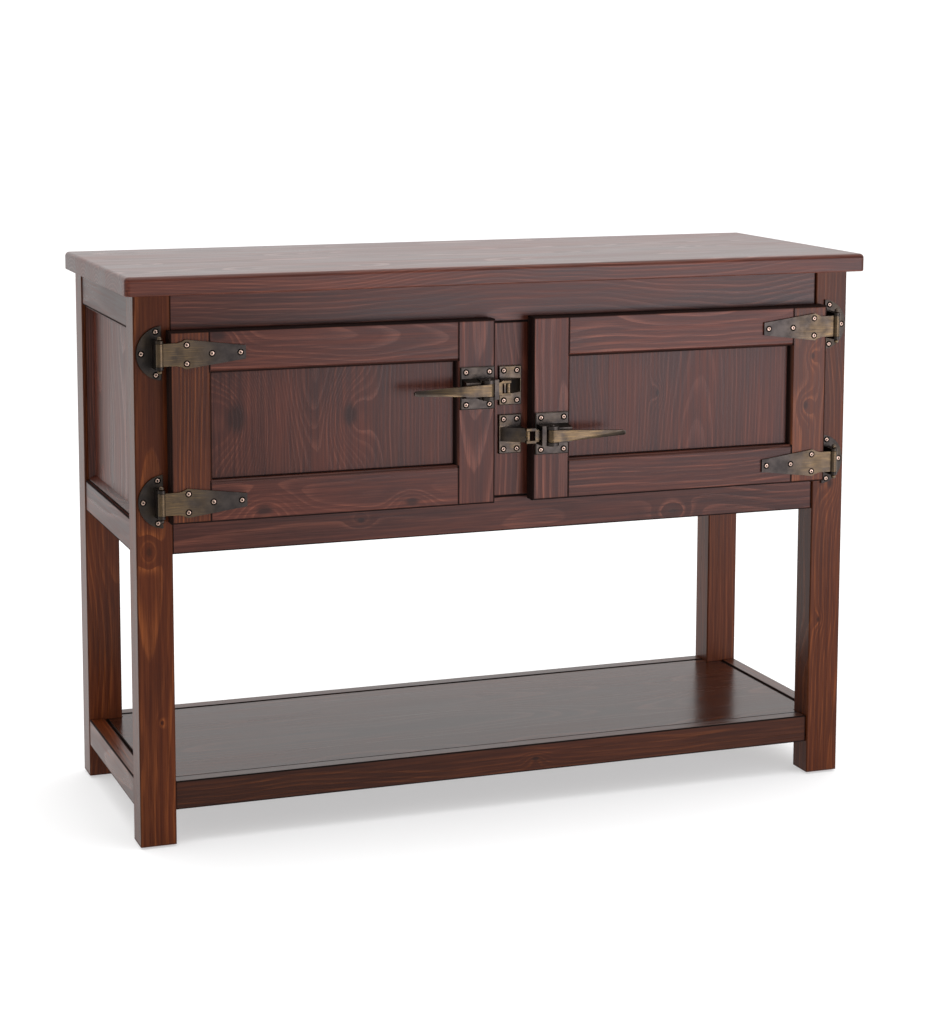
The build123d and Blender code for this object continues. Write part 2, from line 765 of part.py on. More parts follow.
side_groove = side_panel_block(groove_clearance)
rail_zones = {"top": (side_top_z, leg_top_z), "bottom": (case_bottom_z, side_bottom_z)}
for name, (low, high) in rail_zones.items():
    rail = board(side_face_u - rail_thick, side_face_u, leg_front_inner_y, leg_back_inner_y, low, high)
    for side in sides:
        save("side_" + name + "_rail_" + side, on_side(rail - side_groove, side))
    rail = board(-leg_inner_u, leg_inner_u, back_rail_y - rail_thick, back_rail_y, low, high)
    save("back_" + name + "_rail", rail - back_panel_block(groove_clearance))
for side in sides:
    save("side_panel_" + side, on_side(side_panel_block(0), side))
save("side_beads", group(on_side(strip, side) for strip in side_beads() for side in sides))
save("back_panel", back_panel_block(0))

save("case_floor", case_floor())
floor_cleats = rail_cleats(front_rail_y + rail_thick, back_rail_y - rail_thick,
                           side_face_u - rail_thick, opening_bottom_z - floor_thick)

# ---- Lower shelf ----
for name, y0 in (("front", shelf_front_y), ("back", shelf_back_y - rail_thick)):
    save("shelf_" + name + "_rail", board(-leg_inner_u, leg_inner_u, y0, y0 + rail_thick,
                                          shelf_rail_bottom_z, shelf_rail_top_z))
for side in sides:
    rail = board(shelf_side_u - rail_thick, shelf_side_u, leg_front_inner_y, leg_back_inner_y,
                 shelf_rail_bottom_z, shelf_rail_top_z)
    save("shelf_side_rail_" + side, on_side(rail, side))
save("shelf_board", shelf_board())
shelf_under_z = shelf_rail_top_z - shelf_board_below_rail - shelf_board_thick
shelf_cleats = rail_cleats(shelf_front_y + rail_thick, shelf_back_y - rail_thick,
                           shelf_side_u - rail_thick, shelf_under_z)
drilled_cleats = [cut(cleat, top_fixing_holes) for cleat in top_cleats()]
save("cleats", group(drilled_cleats + floor_cleats + shelf_cleats))

# ---- Hinges and keepers on the case ----
for name, z in zip(("upper", "lower"), hinge_zs):
    plate = cut(hinge_plate(z), front_screws(hinge_plate_screw_places(z), plate_face_y, short_hole))
    for side in sides:
        save("hinge_plate_" + name + "_" + side, on_side(plate, side))
save("hinge_pins", group(on_side(hinge_pin(z), side) for z in hinge_zs for side in sides))
for name, z in keeper_zs.items():
    way = 1 if latch_sides[name] == "right" else -1
    holes = front_screws(keeper_screw_places(z), keeper_face_y, short_hole)
    save("keeper_" + name, cut(keeper(z, way), holes))
case_screws = top_fixings
for side in sides:
    case_screws += [on_side(one, side) for one in front_screws(plate_places, plate_face_y, short_screw)]
case_screws += front_screws(keeper_places, keeper_face_y, short_screw)
save("case_screws", group(case_screws))

# ---- Doors ----
strap_face_y = door_front_y - strap_thick
base_face_y = door_front_y - latch_base_thick
strap_places = [place for z in hinge_zs for place in strap_screw_places(z)]
for name, side in latch_sides.items():
    z = latch_zs[name]
    holes = front_screws(strap_places, strap_face_y, short_hole)
    holes += front_screws(latch_screw_places(z), base_face_y, short_hole)
    screws = front_screws(strap_places, strap_face_y, short_screw)
    screws += front_screws(latch_screw_places(z), base_face_y, short_screw)
    for member, shape in door_members().items():
        save(side + "_door_" + member, on_side(cut(shape, holes), side))
    save(side + "_door_panel", on_side(door_panel_block(0), side))
    save(side + "_door_straps", group(on_side(cut(hinge_strap(at), holes), side) for at in hinge_zs))
    save(side + "_door_screws", group(on_side(one, side) for one in screws))
    save(name + "_latch_base", on_side(cut(latch_base(z), holes), side))
    save(name + "_latch_pin", on_side(latch_pin(z), side))
    save(name + "_latch_spring", on_side(latch_spring(z), side))
    save(name + "_latch_lever", on_side(lever(z), side))
    save(name + "_latch_roller", on_side(roller(z), side))
    save(name + "_latch_axle", on_side(roller_axle(z), side))
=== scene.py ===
import json
import math

import bmesh
import bpy
from mathutils import Matrix, Vector

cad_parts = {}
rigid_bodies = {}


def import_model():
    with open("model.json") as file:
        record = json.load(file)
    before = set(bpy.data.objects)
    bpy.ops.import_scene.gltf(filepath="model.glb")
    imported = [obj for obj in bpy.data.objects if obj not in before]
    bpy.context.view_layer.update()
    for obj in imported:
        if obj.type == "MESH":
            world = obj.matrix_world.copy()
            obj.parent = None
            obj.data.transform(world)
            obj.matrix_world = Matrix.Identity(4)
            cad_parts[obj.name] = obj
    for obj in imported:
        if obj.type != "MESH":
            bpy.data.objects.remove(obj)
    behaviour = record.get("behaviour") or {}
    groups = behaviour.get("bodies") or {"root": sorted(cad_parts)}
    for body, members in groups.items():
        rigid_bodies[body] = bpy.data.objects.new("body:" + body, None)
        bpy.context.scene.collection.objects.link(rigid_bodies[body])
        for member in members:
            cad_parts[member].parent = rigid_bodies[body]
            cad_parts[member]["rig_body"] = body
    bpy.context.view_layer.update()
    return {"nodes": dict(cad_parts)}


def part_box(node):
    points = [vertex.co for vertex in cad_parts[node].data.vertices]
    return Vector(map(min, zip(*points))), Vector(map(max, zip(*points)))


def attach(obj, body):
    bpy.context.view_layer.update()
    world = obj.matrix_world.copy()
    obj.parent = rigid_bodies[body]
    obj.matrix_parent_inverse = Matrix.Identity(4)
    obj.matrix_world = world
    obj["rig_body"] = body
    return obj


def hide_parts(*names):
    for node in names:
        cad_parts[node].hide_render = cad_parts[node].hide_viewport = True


# Looks of the two-door console cabinet: stained pine boards under satin lacquer, and dark antique brass
# fittings. Metres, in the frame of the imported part.

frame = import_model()
nodes = frame["nodes"]
scene = bpy.context.scene


# ---- Building shader and geometry trees ----

FLOAT, VECTOR, INTEGER = "NodeSocketFloat", "NodeSocketVector", "NodeSocketInt"
GEOMETRY, OBJECT = "NodeSocketGeometry", "NodeSocketObject"
NOISE_MIDDLE = (0.5, 0.5, 0.5)


def is_socket(value):
    """Whether a value is another node's socket."""
    return isinstance(value, bpy.types.NodeSocket)


def put(tree, node, key, value):
    """Set an input of a node, or join it to a socket."""
    if is_socket(value):
        tree.links.new(value, node.inputs[key])
    else:
        node.inputs[key].default_value = value


def add(tree, kind, inputs=None, **settings):
    """A new node with its settings and inputs."""
    node = tree.nodes.new(kind)
    for name, value in settings.items():
        setattr(node, name, value)
    for key, value in (inputs or {}).items():
        put(tree, node, key, value)
    return node


def calc(tree, operation, *values, clamp=False):
    """One Math node."""
    node = add(tree, "ShaderNodeMath", dict(enumerate(values)), operation=operation, use_clamp=clamp)
    return node.outputs[0]


def vec(tree, operation, *values):
    """One Vector Math node."""
    node = add(tree, "ShaderNodeVectorMath", dict(enumerate(values)), operation=operation)
    return node.outputs["Value" if operation == "LENGTH" else "Vector"]


def ease(tree, value, low, high, to_low=0.0, to_high=1.0):
    """A smooth step between two values."""
    inputs = {"Value": value, "From Min": low, "From Max": high, "To Min": to_low, "To Max": to_high}
    return add(tree, "ShaderNodeMapRange", inputs, interpolation_type="SMOOTHSTEP").outputs["Result"]


def blend_colour(tree, factor, first, second):
    """One colour mix."""
    return add(tree, "ShaderNodeMix", {0: factor, 6: first, 7: second}, data_type="RGBA").outputs[2]


def blend_number(tree, factor, first, second):
    """One number mix."""
    return add(tree, "ShaderNodeMix", {0: factor, 2: first, 3: second}, data_type="FLOAT").outputs[0]


def noise(tree, where, scale, detail=2.0, rough=0.5):
    """One Noise Texture node."""
    inputs = {"Vector": where, "Scale": scale, "Detail": detail, "Roughness": rough}
    return add(tree, "ShaderNodeTexNoise", inputs)


def split(tree, vector):
    """The three parts of a vector."""
    return add(tree, "ShaderNodeSeparateXYZ", {0: vector}).outputs


def join(tree, x, y, z):
    """A vector from three numbers."""
    return add(tree, "ShaderNodeCombineXYZ", {0: x, 1: y, 2: z}).outputs[0]


def new_group(name, inputs, outputs, kind="ShaderNodeTree"):
    """An empty node group with named sockets: its tree, its inputs and a function that joins its outputs."""
    tree = bpy.data.node_groups.new(name, kind)
    for label, socket, value in inputs:
        made = tree.interface.new_socket(label, in_out="INPUT", socket_type=socket)
        if value is not None:
            made.default_value = value
    for label, socket in outputs:
        tree.interface.new_socket(label, in_out="OUTPUT", socket_type=socket)
    given = tree.nodes.new("NodeGroupInput").outputs
    out = tree.nodes.new("NodeGroupOutput")

    def give(**results):
        for label, socket in results.items():
            tree.links.new(socket, out.inputs[label])
    return tree, given, give


# ---- Pine grain, shared by every board ----

GLUE_LINE = 0.0009
PLANK_STEP = 3.17
FURTHEST_START = 5.0
DRIFT_ALONG, DRIFT_ACROSS = 2.3, 2.0
LOT_ACROSS, LOT_DEPTH = 0.05, 0.04
KNOT_STRETCH = 0.62
KNOT_FALL = 0.36
KNOT_PUSH = 3.0


def plank_place(tree, given, y):
    """Planks glued side by side: the place across one plank, the plank's own key, and the glue line."""
    place = calc(tree, "DIVIDE", calc(tree, "ADD", y, given["Plank Shift"]), given["Plank Width"])
    plank = calc(tree, "FLOOR", calc(tree, "ADD", place, 0.5))
    within = calc(tree, "MULTIPLY", calc(tree, "SUBTRACT", place, plank), given["Plank Width"])
    half = calc(tree, "MULTIPLY", given["Plank Width"], 0.5)
    from_edge = calc(tree, "SUBTRACT", half, calc(tree, "ABSOLUTE", within))
    joint = ease(tree, from_edge, 0.0, GLUE_LINE, 1.0, 0.0)
    key = calc(tree, "ADD", calc(tree, "MULTIPLY", plank, PLANK_STEP), given["Seed"])
    return within, key, joint


def pith_distance(tree, given, x, z, within, key):
    """How far a point is from a pith that wanders along the plank, and the place along the tree."""
    lot = add(tree, "ShaderNodeTexWhiteNoise", {"W": key}, noise_dimensions="1D")
    lot_x, lot_y, lot_z = split(tree, vec(tree, "SUBTRACT", lot.outputs["Color"], NOISE_MIDDLE))
    along = calc(tree, "ADD", x, calc(tree, "MULTIPLY_ADD", lot_x, FURTHEST_START, given["Seed"]))
    drift_at = join(tree, calc(tree, "MULTIPLY", along, DRIFT_ALONG),
                    calc(tree, "MULTIPLY", within, DRIFT_ACROSS),
                    calc(tree, "ADD", calc(tree, "MULTIPLY", z, DRIFT_ACROSS), key))
    drift = noise(tree, drift_at, 1.0, 2.0, 0.42).outputs["Color"]
    drift = vec(tree, "SCALE", vec(tree, "SUBTRACT", drift, NOISE_MIDDLE))
    put(tree, drift.node, "Scale", calc(tree, "MULTIPLY", given["Wander"], 2.0))
    _, drift_y, drift_z = split(tree, drift)
    across = calc(tree, "ADD", calc(tree, "SUBTRACT", within, given["Pith Across"]),
                  calc(tree, "ADD", drift_y, calc(tree, "MULTIPLY", lot_y, LOT_ACROSS)))
    depth = calc(tree, "ADD", calc(tree, "ADD", z, given["Pith Depth"]),
                 calc(tree, "ADD", drift_z, calc(tree, "MULTIPLY", lot_z, LOT_DEPTH)))
    return vec(tree, "LENGTH", join(tree, 0.0, across, depth)), along


def round_knots(tree, given, where, radius):
    """Rings pushed out round two knots: the new distance, the knots' hearts and the swirl about them."""
    knot, swirl = 0.0, 0.0
    for label in ("Knot", "Second Knot"):
        gap_x, gap_y, _ = split(tree, vec(tree, "SUBTRACT", where, given[label + " Place"]))
        far = vec(tree, "LENGTH", join(tree, calc(tree, "MULTIPLY", gap_x, KNOT_STRETCH), gap_y, 0.0))
        share = calc(tree, "DIVIDE", far, given[label + " Radius"])
        squared = calc(tree, "POWER", calc(tree, "MULTIPLY", share, KNOT_FALL), 2.0)
        fall = calc(tree, "EXPONENT", calc(tree, "MULTIPLY", squared, -1.0))
        push = calc(tree, "MULTIPLY", calc(tree, "MULTIPLY", given[label + " Radius"], KNOT_PUSH), fall)
        radius = calc(tree, "ADD", radius, push)
        swirl = calc(tree, "MAXIMUM", swirl, fall)
        knot = calc(tree, "MAXIMUM", knot, ease(tree, share, 0.35, 1.15, 1.0, 0.0))
    return radius, knot, swirl


def late_wood(tree, given, where, radius, along, key):
    """The dark late wood of each ring: uneven in width, a little ragged, and stronger in some years."""
    uneven = noise(tree, join(tree, calc(tree, "MULTIPLY", radius, 55.0), key, 0.0), 1.0, 1.0).outputs["Fac"]
    ragged = noise(tree, vec(tree, "MULTIPLY", where, (9.0, 120.0, 120.0)), 1.0, 2.0).outputs["Fac"]
    turn = calc(tree, "ADD", calc(tree, "DIVIDE", radius, given["Ring Width"]),
                calc(tree, "ADD", calc(tree, "MULTIPLY", uneven, 1.6), calc(tree, "MULTIPLY", ragged, 0.25)))
    part = calc(tree, "FRACT", turn)
    late = calc(tree, "MULTIPLY", ease(tree, part, 0.42, 0.88), ease(tree, part, 0.89, 0.98, 1.0, 0.0))
    year = join(tree, calc(tree, "FLOOR", turn), key, calc(tree, "MULTIPLY", along, 1.4))
    weight = noise(tree, year, 1.3, 1.0).outputs["Fac"]
    return calc(tree, "MULTIPLY", late, ease(tree, weight, 0.3, 0.62, 0.25, 1.0))


def fibre_lines(tree, where):
    """Coarse and fine fibres that run along the grain."""
    coarse = noise(tree, vec(tree, "MULTIPLY", where, (5.0, 260.0, 260.0)), 1.0, 3.0, 0.6).outputs["Fac"]
    fine = noise(tree, vec(tree, "MULTIPLY", where, (22.0, 900.0, 900.0)), 1.0, 2.0, 0.6).outputs["Fac"]
    fibre = calc(tree, "ADD", calc(tree, "MULTIPLY", coarse, 0.62), calc(tree, "MULTIPLY", fine, 0.38))
    return ease(tree, fibre, 0.34, 0.66)


def stain_clouds(tree, where, key):
    """Places where the wood took more or less of the stain."""
    stain_at = vec(tree, "ADD", vec(tree, "MULTIPLY", where, (2.2, 9.0, 9.0)), join(tree, key, 0.0, 0.0))
    return ease(tree, noise(tree, stain_at, 1.0, 3.0, 0.55).outputs["Fac"], 0.3, 0.7)


def pine_grain_group():
    """Plain-sawn pine: rings round a wandering pith, knots, fibres and stain. X runs along the grain."""
    tree, given, give = new_group(
        "pine_grain",
        [("Vector", VECTOR, None), ("Seed", FLOAT, 0.0), ("Plank Width", FLOAT, 1.0),
         ("Plank Shift", FLOAT, 0.0), ("Ring Width", FLOAT, 0.005), ("Pith Across", FLOAT, 0.0),
         ("Pith Depth", FLOAT, 0.05), ("Wander", FLOAT, 0.03), ("Knot Place", VECTOR, None),
         ("Knot Radius", FLOAT, 0.0001), ("Second Knot Place", VECTOR, None),
         ("Second Knot Radius", FLOAT, 0.0001)],
        [("Rings", FLOAT), ("Fibre", FLOAT), ("Stain", FLOAT), ("Knot", FLOAT), ("Joint", FLOAT),
         ("Swirl", FLOAT)])
    where = given["Vector"]
    x, y, z = split(tree, where)
    within, key, joint = plank_place(tree, given, y)
    radius, along = pith_distance(tree, given, x, z, within, key)
    radius, knot, swirl = round_knots(tree, given, where, radius)
    give(Rings=late_wood(tree, given, where, radius, along, key), Fibre=fibre_lines(tree, where),
         Stain=stain_clouds(tree, where, key), Knot=knot, Joint=joint, Swirl=swirl)
    return tree


# ---- Other shared effects ----

def edge_wear_and_shade_group():
    """How near a point is to the edges of a board's box: broken wear, a steady seam that lays painted shade
    along the edges and joints, and a flank mask that lays painted shade on the side faces between front and
    back.
    """
    tree, given, give = new_group(
        "edge_wear_and_shade",
        [("Vector", VECTOR, None), ("Middle", VECTOR, None), ("Half Size", VECTOR, None),
         ("Reach", FLOAT, 0.003)],
        [("Wear", FLOAT), ("Seam", FLOAT), ("Flank", FLOAT)])
    reach = given["Reach"]
    from_middle = vec(tree, "ABSOLUTE", vec(tree, "SUBTRACT", given["Vector"], given["Middle"]))
    x, y, z = split(tree, vec(tree, "SUBTRACT", given["Half Size"], from_middle))
    pairs = [calc(tree, "MAXIMUM", a, b) for a, b in ((x, y), (y, z), (x, z))]
    nearest = calc(tree, "MINIMUM", pairs[0], calc(tree, "MINIMUM", pairs[1], pairs[2]))
    breaks = noise(tree, given["Vector"], 55.0, 3.0, 0.6).outputs["Fac"]
    limit = calc(tree, "MULTIPLY", reach, calc(tree, "MULTIPLY", breaks, 1.6))
    wear = calc(tree, "SUBTRACT", 1.0, calc(tree, "DIVIDE", nearest, limit, clamp=True), clamp=True)
    seam_start, seam_end = calc(tree, "MULTIPLY", reach, 0.3), calc(tree, "MULTIPLY", reach, 0.75)
    seam = ease(tree, nearest, seam_start, seam_end, 1.0, 0.0)
    give(Wear=wear, Seam=seam, Flank=ease(tree, y, 0.0012, 0.0035))
    return tree


def patina_group():
    """Darkened brass: cloudy patina, rubbed marks, fine scratches and cast grit."""
    tree, given, give = new_group(
        "patina",
        [("Vector", VECTOR, None), ("Seed", FLOAT, 0.0), ("Cloud Scale", FLOAT, 60.0),
         ("Rubbed", FLOAT, 0.5)],
        [("Cloud", FLOAT), ("Rub", FLOAT), ("Scratch", FLOAT), ("Grit", FLOAT)])
    where = vec(tree, "ADD", given["Vector"], join(tree, given["Seed"], given["Seed"], 0.0))
    cloud = noise(tree, where, given["Cloud Scale"], 3.0, 0.5).outputs["Fac"]
    rub = noise(tree, where, calc(tree, "MULTIPLY", given["Cloud Scale"], 0.55), 2.0, 0.5).outputs["Fac"]
    middle = calc(tree, "SUBTRACT", 0.78, calc(tree, "MULTIPLY", given["Rubbed"], 0.4))
    rub_low, rub_high = (calc(tree, way, middle, 0.22) for way in ("SUBTRACT", "ADD"))
    scratch = noise(tree, vec(tree, "MULTIPLY", where, (35.0, 1100.0, 1100.0)), 1.0, 2.0).outputs["Fac"]
    grit = noise(tree, where, 1500.0, 2.0, 0.6).outputs["Fac"]
    give(Cloud=ease(tree, cloud, 0.2, 0.8), Rub=ease(tree, rub, rub_low, rub_high),
         Scratch=ease(tree, scratch, 0.5, 0.7), Grit=grit)
    return tree


PINE_GRAIN = pine_grain_group()
EDGE_WEAR_AND_SHADE = edge_wear_and_shade_group()
PATINA = patina_group()


def new_material(name):
    """An empty material with its shader: material, tree and shader."""
    material = bpy.data.materials.new(name)
    material.use_nodes = True
    tree = material.node_tree
    tree.nodes.clear()
    shader = tree.nodes.new("ShaderNodeBsdfPrincipled")
    out = tree.nodes.new("ShaderNodeOutputMaterial")
    tree.links.new(shader.outputs[0], out.inputs[0])
    return material, tree, shader


def object_place(tree):
    """The place on the object, in metres."""
    return tree.nodes.new("ShaderNodeTexCoord").outputs["Object"]


def effect(tree, group, inputs):
    """A shared effect placed in a material with its own values: its outputs."""
    return add(tree, "ShaderNodeGroup", inputs, node_tree=group).outputs


def tint(colour, share):
    """A colour made darker or lighter."""
    return (*(c * share for c in colour[:3]), 1.0)


def dress(node, material):
    """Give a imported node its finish."""
    slots = nodes[node].data.materials
    slots.clear()
    slots.append(material)


# ---- Stained pine ----

# Each tone: dark early wood, middle stain, light late wood
TONES = {
    "plum": ((0.021, 0.0044, 0.0028), (0.068, 0.0155, 0.0088), (0.220, 0.068, 0.038)),
    "russet": ((0.032, 0.0058, 0.0014), (0.096, 0.0190, 0.0042), (0.240, 0.066, 0.016)),
    "shelf": ((0.016, 0.0040, 0.0020), (0.042, 0.0105, 0.0040), (0.130, 0.038, 0.015)),
    "inner": ((0.150, 0.078, 0.042), (0.240, 0.135, 0.075), (0.330, 0.205, 0.120)),
}
# Which of the frame's axes run along the grain, across the face and into the face
GRAIN = {
    "x_front": (0, 2, 1),
    "x_flat": (0, 1, 2),
    "z_front": (2, 0, 1),
    "z_side": (2, 1, 0),
    "y_side": (1, 2, 0),
}
SHADED_SEAM_ROUGHNESS = 0.95
GRAIN_RELIEF = 0.00012


def stained_colour(tree, look, edges, painted_shade, tone, light, figure):
    """Base colour of a board: stain, late wood, fibres, knots, worn edges, and painted shade darkening its
    seams, joints and side faces.
    """
    # light scales the tones: partly the board's own tone, partly painted light and shade
    dark, mid, pale = (tint(shade, light) for shade in TONES[tone])
    colour = blend_colour(tree, look["Stain"], dark, mid)
    figured = calc(tree, "MULTIPLY_ADD", look["Fibre"], figure * 0.8, figure * 0.4)
    streak = calc(tree, "MULTIPLY", look["Rings"], figured)
    streak = calc(tree, "MULTIPLY", streak, calc(tree, "MULTIPLY_ADD", look["Swirl"], 0.8, 1.0), clamp=True)
    colour = blend_colour(tree, streak, colour, pale)
    colour = blend_colour(tree, calc(tree, "MULTIPLY", look["Fibre"], 0.16), colour, pale)
    pores = calc(tree, "MULTIPLY", calc(tree, "SUBTRACT", 1.0, look["Fibre"]), 0.5)
    colour = blend_colour(tree, pores, colour, dark)
    colour = blend_colour(tree, calc(tree, "MULTIPLY", look["Knot"], 0.75), colour, tint(dark, 0.45))
    colour = blend_colour(tree, calc(tree, "MULTIPLY", edges["Wear"], 0.12), colour, pale)
    # Painted shade: seams, joints and door side faces darkened nearly to black
    colour = blend_colour(tree, painted_shade, colour, tint(dark, 0.12))
    return blend_colour(tree, calc(tree, "MULTIPLY", look["Joint"], 0.65), colour, tint(dark, 0.3))


def satin_lacquer(tree, look, edges, painted_shade, rough):
    """Roughness of a board: duller on fibres and worn edges, glossier on late wood, dull where the painted
    shade lies.
    """
    satin = calc(tree, "ADD", rough, calc(tree, "MULTIPLY", look["Stain"], 0.05))
    satin = calc(tree, "ADD", satin, calc(tree, "MULTIPLY", look["Fibre"], 0.07))
    satin = calc(tree, "SUBTRACT", satin, calc(tree, "MULTIPLY", look["Rings"], 0.05))
    satin = calc(tree, "ADD", satin, calc(tree, "MULTIPLY", edges["Wear"], 0.1))
    return blend_number(tree, painted_shade, satin, SHADED_SEAM_ROUGHNESS)


def grain_relief(tree, look):
    """Late wood and fibres stand up a little, and glue lines are let in."""
    height = calc(tree, "ADD", calc(tree, "MULTIPLY", look["Rings"], 0.6),
                  calc(tree, "MULTIPLY", look["Fibre"], 0.4))
    height = calc(tree, "SUBTRACT", height, calc(tree, "MULTIPLY", look["Joint"], 2.0))
    bump = add(tree, "ShaderNodeBump", {"Strength": 0.35, "Distance": GRAIN_RELIEF, "Height": height})
    return bump.outputs[0]


def pine(node, seed, tone, grain, plank=1.0, shift=0.0, ring=0.0052, across=0.0, depth=0.055,
         wander=0.03, knots=(), rough=0.27, light=1.0, figure=0.42, seam=0.97, ior=1.25, flank=0.0,
         inset=0.0, reach=0.0034):
    """The finish of one board, centred on its own box. A knot is (along, across, radius) from the middle.

    plank, shift: width of the glued planks and their offset; ring, across, depth, wander: the growth rings
    and their pith; light: how light the board's colour, partly its own tone and partly painted light and
    shade set board by board; figure: how strong the late wood; seam, flank, reach: painted shade at the
    edges and joints and on the side faces; inset: how far the board runs into its frame's groove, so that
    the painted shade lines the visible border.
    """
    low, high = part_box(node)
    middle, half = (low + high) / 2, (high - low) / 2
    material, tree, shader = new_material(node + "_pine")
    where = object_place(tree)
    centred = add(tree, "ShaderNodeMapping", {"Vector": where, "Location": tuple(-middle)}).outputs[0]
    axes = split(tree, centred)
    cut = {"Vector": join(tree, *(axes[i] for i in GRAIN[grain])), "Seed": seed, "Plank Width": plank,
           "Plank Shift": shift, "Ring Width": ring, "Pith Across": across, "Pith Depth": depth,
           "Wander": wander}
    for label, (at, off, size) in zip(("Knot", "Second Knot"), knots):
        cut[label + " Place"] = (at, off, 0.0)
        cut[label + " Radius"] = size
    look = effect(tree, PINE_GRAIN, cut)
    showing = tuple(half - Vector((inset, 0.0, inset)))
    edges = effect(tree, EDGE_WEAR_AND_SHADE,
                   {"Vector": where, "Middle": tuple(middle), "Half Size": showing, "Reach": reach})
    # Painted shade along the edges and joints and on the side faces
    painted_shade = calc(tree, "MAXIMUM", calc(tree, "MULTIPLY", edges["Seam"], seam),
                  calc(tree, "MULTIPLY", edges["Flank"], flank))
    put(tree, shader, "Base Color", stained_colour(tree, look, edges, painted_shade, tone, light, figure))
    put(tree, shader, "Roughness", satin_lacquer(tree, look, edges, painted_shade, rough))
    put(tree, shader, "Normal", grain_relief(tree, look))
    shader.inputs["IOR"].default_value = ior
    return material


# Painted shade on the doors: the panels' tongue sets where the dark line at their border falls, the reach how
# wide it runs along the seams, and the flanks how dark the side faces get; the bottom rails barely, so that
# their upward faces keep their reflection
PANEL_TONGUE = 0.008
DOOR_SHADE_REACH = 0.0046
STILE_FLANK, BOTTOM_RAIL_FLANK = 0.9, 0.1
FIRST_SEED, SEED_STEP = 1.7, 2.39


def board(tone, grain, **cut):
    """A board's tone, the run of its grain, and what sets its cut apart."""
    return dict(cut, tone=tone, grain=grain)


def case_boards():
    """The case, its legs and the shelf."""
    # Each light value is partly the board's own tone and partly painted light and shade, set board by board;
    # seam sets how dark the painted shade at its edges
    boards = {
        "top_board": board("plum", "x_flat", plank=0.101, shift=0.03, ring=0.0052, wander=0.05, rough=0.3,
                           ior=1.3, seam=0.0, light=1.15, figure=0.3),
        "front_top_rail": board("plum", "x_front", ring=0.0065, depth=0.03, wander=0.045, light=1.14,
                                ior=1.28),
        "front_bottom_rail": board("plum", "x_front", ring=0.0068, depth=0.035, wander=0.04,
                                   knots=((0.25, -0.014, 0.006), (-0.21, 0.004, 0.004))),
        "centre_stile": board("plum", "z_front", light=1.12, ring=0.0045, across=0.03, depth=0.05),
        "leg_front_left": board("russet", "z_front", ring=0.0052, across=0.012, depth=0.07, wander=0.022,
                                ior=1.2, seam=0.4, figure=0.5,
                                knots=((0.03, -0.008, 0.005), (-0.2, 0.006, 0.002))),
        "leg_front_right": board("russet", "z_front", ring=0.0062, across=-0.006, depth=0.03, wander=0.035,
                                 ior=1.22, seam=0.4, light=0.88,
                                 knots=((0.06, 0.004, 0.006), (-0.14, -0.01, 0.003))),
        "leg_back_left": board("russet", "z_front", seam=0.4, ring=0.0055, across=0.02, depth=0.045),
        "leg_back_right": board("russet", "z_front", seam=0.4, ring=0.006, across=-0.01, depth=0.04),
        "side_beads": board("plum", "z_side", ring=0.005),
        "back_panel": board("inner", "x_front", plank=0.25, ring=0.011, wander=0.08, rough=0.5),
        "back_top_rail": board("plum", "x_front", ring=0.007, depth=0.04),
        "back_bottom_rail": board("plum", "x_front", ring=0.006, depth=0.05, knots=((-0.1, 0.0, 0.005),)),
        "case_floor": board("inner", "x_flat", plank=0.12, ring=0.008, rough=0.5),
        "cleats": board("inner", "x_flat", ring=0.006, rough=0.55),
        "shelf_board": board("shelf", "x_flat", plank=0.112, shift=0.04, ring=0.0065, wander=0.045,
                             rough=0.17, ior=1.19, figure=0.6),
        "shelf_front_rail": board("russet", "x_front", ring=0.0062, depth=0.035, wander=0.035, light=0.5,
                                  knots=((0.045, -0.002, 0.004),)),
        "shelf_back_rail": board("russet", "x_front", ring=0.006, depth=0.05, light=0.6),
    }
    for side, way, shift in (("left", -1, 0.02), ("right", 1, -0.03)):
        boards.update({
            "side_panel_" + side: board("plum", "z_side", plank=0.105, shift=shift, ring=0.0065,
                                        wander=0.05, ior=1.2, light=1.3),
            "side_top_rail_" + side: board("plum", "y_side", ring=0.006, depth=0.045 * way, ior=1.18,
                                           light=0.86),
            "side_bottom_rail_" + side: board("plum", "y_side", ring=0.006, depth=0.05 * way, ior=1.18,
                                              light=1.12),
            "shelf_side_rail_" + side: board("russet", "y_side", ring=0.006, depth=0.05 * way, light=0.85),
        })
    return boards


